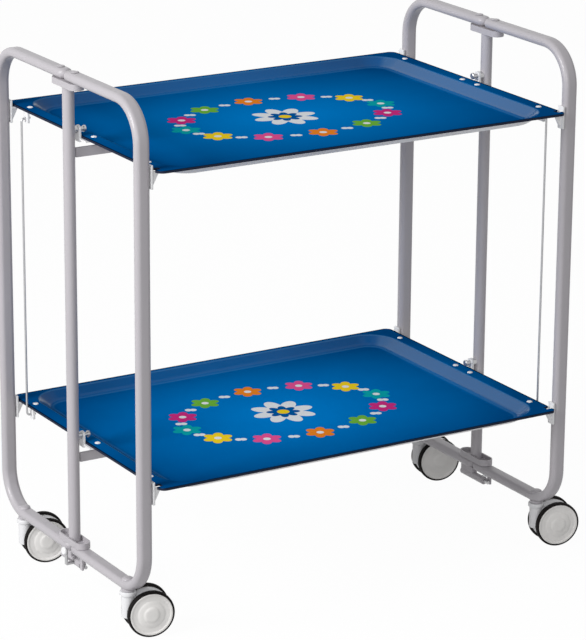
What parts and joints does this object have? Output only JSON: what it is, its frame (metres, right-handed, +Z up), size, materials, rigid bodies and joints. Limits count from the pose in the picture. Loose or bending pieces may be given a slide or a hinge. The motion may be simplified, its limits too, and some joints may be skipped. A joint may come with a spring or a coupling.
{
  "type": "folding kitchen cart",
  "caption": "Folding serving trolley: looped side frames hinged beside centre posts, dished trays that tip together about the posts, and swivel casters with paired wheels.",
  "frame": {"origin": "centre of the cart's bounding box, on the floor under it; the casters trail to +X, so the posts' mid plane lies 20.0 mm to -X of it", "axes": "+Z up, -Y to the front, +X to the right as seen from the front; the trays' long sides run along X"},
  "size_m": [0.7327, 0.43, 0.7298],
  "materials": {
    "frame_paint": "silver-grey satin paint on steel tube",
    "pin_steel": "plated steel pins, stems and axles",
    "tray_finish": "glossy blue face, white underside",
    "carrier_paint": "grey paint",
    "white_paint": "white paint",
    "wire_steel": "plated steel wire",
    "clip_plastic": "white moulded plastic",
    "housing_plastic": "white moulded plastic",
    "hub_plastic": "pale grey moulded plastic",
    "tyre_rubber": "black rubber"
  },
  "bodies": {
    "frame_core": {"left_post": "frame_paint", "right_post": "frame_paint", "left_hinge_brackets": "frame_paint", "right_hinge_brackets": "frame_paint", "hinge_pins": "frame_paint", "tray_pivot_pins": "pin_steel"},
    "upper_tray_set": {"upper_tray": "tray_finish", "upper_tray_carrier": "carrier_paint", "upper_tray_brackets": "white_paint", "upper_tray_rivets": "white_paint"},
    "lower_tray_set": {"lower_tray": "tray_finish", "lower_tray_carrier": "carrier_paint", "lower_tray_brackets": "white_paint", "lower_tray_rivets": "white_paint"},
    "left_wire": {"left_link_wire": "wire_steel"},
    "right_wire": {"right_link_wire": "wire_steel"},
    "front_left_half": {"front_left_frame": "frame_paint", "front_left_tray_clips": "clip_plastic", "front_left_caster_stem": "frame_paint"},
    "front_left_caster": {"front_left_caster_housing": "housing_plastic", "front_left_caster_axle": "pin_steel"},
    "front_left_outer_wheel": {"front_left_outer_hub": "hub_plastic", "front_left_outer_tyre": "tyre_rubber"},
    "front_left_inner_wheel": {"front_left_inner_hub": "hub_plastic", "front_left_inner_tyre": "tyre_rubber"},
    "rear_left_half": {"rear_left_frame": "frame_paint", "rear_left_tray_clips": "clip_plastic", "rear_left_caster_stem": "frame_paint", "left_latch_guide": "frame_paint"},
    "rear_left_caster": {"rear_left_caster_housing": "housing_plastic", "rear_left_caster_axle": "pin_steel"},
    "rear_left_outer_wheel": {"rear_left_outer_hub": "hub_plastic", "rear_left_outer_tyre": "tyre_rubber"},
    "rear_left_inner_wheel": {"rear_left_inner_hub": "hub_plastic", "rear_left_inner_tyre": "tyre_rubber"},
    "left_latch": {"left_latch_bolt": "pin_steel", "left_latch_knob": "clip_plastic"},
    "front_right_half": {"front_right_frame": "frame_paint", "front_right_tray_clips": "clip_plastic", "front_right_caster_stem": "frame_paint"},
    "front_right_caster": {"front_right_caster_housing": "housing_plastic", "front_right_caster_axle": "pin_steel"},
    "front_right_outer_wheel": {"front_right_outer_hub": "hub_plastic", "front_right_outer_tyre": "tyre_rubber"},
    "front_right_inner_wheel": {"front_right_inner_hub": "hub_plastic", "front_right_inner_tyre": "tyre_rubber"},
    "rear_right_half": {"rear_right_frame": "frame_paint", "rear_right_tray_clips": "clip_plastic", "rear_right_caster_stem": "frame_paint", "right_latch_guide": "frame_paint"},
    "rear_right_caster": {"rear_right_caster_housing": "housing_plastic", "rear_right_caster_axle": "pin_steel"},
    "rear_right_outer_wheel": {"rear_right_outer_hub": "hub_plastic", "rear_right_outer_tyre": "tyre_rubber"},
    "rear_right_inner_wheel": {"rear_right_inner_hub": "hub_plastic", "rear_right_inner_tyre": "tyre_rubber"},
    "right_latch": {"right_latch_bolt": "pin_steel", "right_latch_knob": "clip_plastic"}
  },
  "joints": [
    {"name": "upper_tray_tilt", "type": "hinge", "parent": "frame_core", "child": "upper_tray_set", "pos_m": [-0.02003, 0, 0.648], "axis": [1, 0, 0], "range_deg": [0, 78]},
    {"name": "lower_tray_tilt", "type": "hinge", "parent": "frame_core", "child": "lower_tray_set", "pos_m": [-0.02003, 0, 0.229], "axis": [1, 0, 0], "range_deg": [0, 78]},
    {"name": "left_wire_turn", "type": "hinge", "parent": "upper_tray_set", "child": "left_wire", "pos_m": [-0.32503, 0.16555, 0.626], "axis": [1, 0, 0], "range_deg": [-78, 0]},
    {"name": "right_wire_turn", "type": "hinge", "parent": "upper_tray_set", "child": "right_wire", "pos_m": [0.28497, -0.16555, 0.626], "axis": [1, 0, 0], "range_deg": [-78, 0]},
    {"name": "front_left_swing", "type": "hinge", "parent": "frame_core", "child": "front_left_half", "pos_m": [-0.34503, -0.02, 0.4], "axis": [0, 0, -1], "range_deg": [0, 8]},
    {"name": "front_left_swivel", "type": "hinge", "parent": "front_left_half", "child": "front_left_caster", "pos_m": [-0.34503, -0.151, 0.05], "axis": [0, 0, 1], "continuous": true},
    {"name": "front_left_outer_spin", "type": "hinge", "parent": "front_left_caster", "child": "front_left_outer_wheel", "pos_m": [-0.32153, -0.17031, 0.032], "axis": [0.2079, 0.9781, 0], "continuous": true},
    {"name": "front_left_inner_spin", "type": "hinge", "parent": "front_left_caster", "child": "front_left_inner_wheel", "pos_m": [-0.31571, -0.14292, 0.032], "axis": [0.2079, 0.9781, 0], "continuous": true},
    {"name": "rear_left_swing", "type": "hinge", "parent": "frame_core", "child": "rear_left_half", "pos_m": [-0.34503, 0.02, 0.4], "axis": [0, 0, 1], "range_deg": [0, 8]},
    {"name": "rear_left_swivel", "type": "hinge", "parent": "rear_left_half", "child": "rear_left_caster", "pos_m": [-0.34503, 0.151, 0.05], "axis": [0, 0, 1], "continuous": true},
    {"name": "rear_left_outer_spin", "type": "hinge", "parent": "rear_left_caster", "child": "rear_left_outer_wheel", "pos_m": [-0.32153, 0.13169, 0.032], "axis": [0.2079, 0.9781, 0], "continuous": true},
    {"name": "rear_left_inner_spin", "type": "hinge", "parent": "rear_left_caster", "child": "rear_left_inner_wheel", "pos_m": [-0.31571, 0.15908, 0.032], "axis": [0.2079, 0.9781, 0], "continuous": true},
    {"name": "left_latch_slide", "type": "slide", "parent": "rear_left_half", "child": "left_latch", "axis": [0, 1, 0], "range_m": [0, 0.012], "stiffness_N_per_m": 300, "springref_m": -0.006},
    {"name": "front_right_swing", "type": "hinge", "parent": "frame_core", "child": "front_right_half", "pos_m": [0.30497, -0.02, 0.4], "axis": [0, 0, 1], "range_deg": [0, 8]},
    {"name": "front_right_swivel", "type": "hinge", "parent": "front_right_half", "child": "front_right_caster", "pos_m": [0.30497, -0.151, 0.05], "axis": [0, 0, 1], "continuous": true},
    {"name": "front_right_outer_spin", "type": "hinge", "parent": "front_right_caster", "child": "front_right_outer_wheel", "pos_m": [0.32847, -0.17031, 0.032], "axis": [0.2079, 0.9781, 0], "continuous": true},
    {"name": "front_right_inner_spin", "type": "hinge", "parent": "front_right_caster", "child": "front_right_inner_wheel", "pos_m": [0.33429, -0.14292, 0.032], "axis": [0.2079, 0.9781, 0], "continuous": true},
    {"name": "rear_right_swing", "type": "hinge", "parent": "frame_core", "child": "rear_right_half", "pos_m": [0.30497, 0.02, 0.4], "axis": [0, 0, -1], "range_deg": [0, 8]},
    {"name": "rear_right_swivel", "type": "hinge", "parent": "rear_right_half", "child": "rear_right_caster", "pos_m": [0.30497, 0.151, 0.05], "axis": [0, 0, 1], "continuous": true},
    {"name": "rear_right_outer_spin", "type": "hinge", "parent": "rear_right_caster", "child": "rear_right_outer_wheel", "pos_m": [0.32847, 0.13169, 0.032], "axis": [0.2079, 0.9781, 0], "continuous": true},
    {"name": "rear_right_inner_spin", "type": "hinge", "parent": "rear_right_caster", "child": "rear_right_inner_wheel", "pos_m": [0.33429, 0.15908, 0.032], "axis": [0.2079, 0.9781, 0], "continuous": true},
    {"name": "right_latch_slide", "type": "slide", "parent": "rear_right_half", "child": "right_latch", "axis": [0, 1, 0], "range_m": [0, 0.012], "stiffness_N_per_m": 300, "springref_m": -0.006}
  ],
  "couplings": [
    {"joint": "lower_tray_tilt", "follows": "upper_tray_tilt", "ratio": 1},
    {"joint": "left_wire_turn", "follows": "upper_tray_tilt", "ratio": -1},
    {"joint": "right_wire_turn", "follows": "upper_tray_tilt", "ratio": -1}
  ]
}
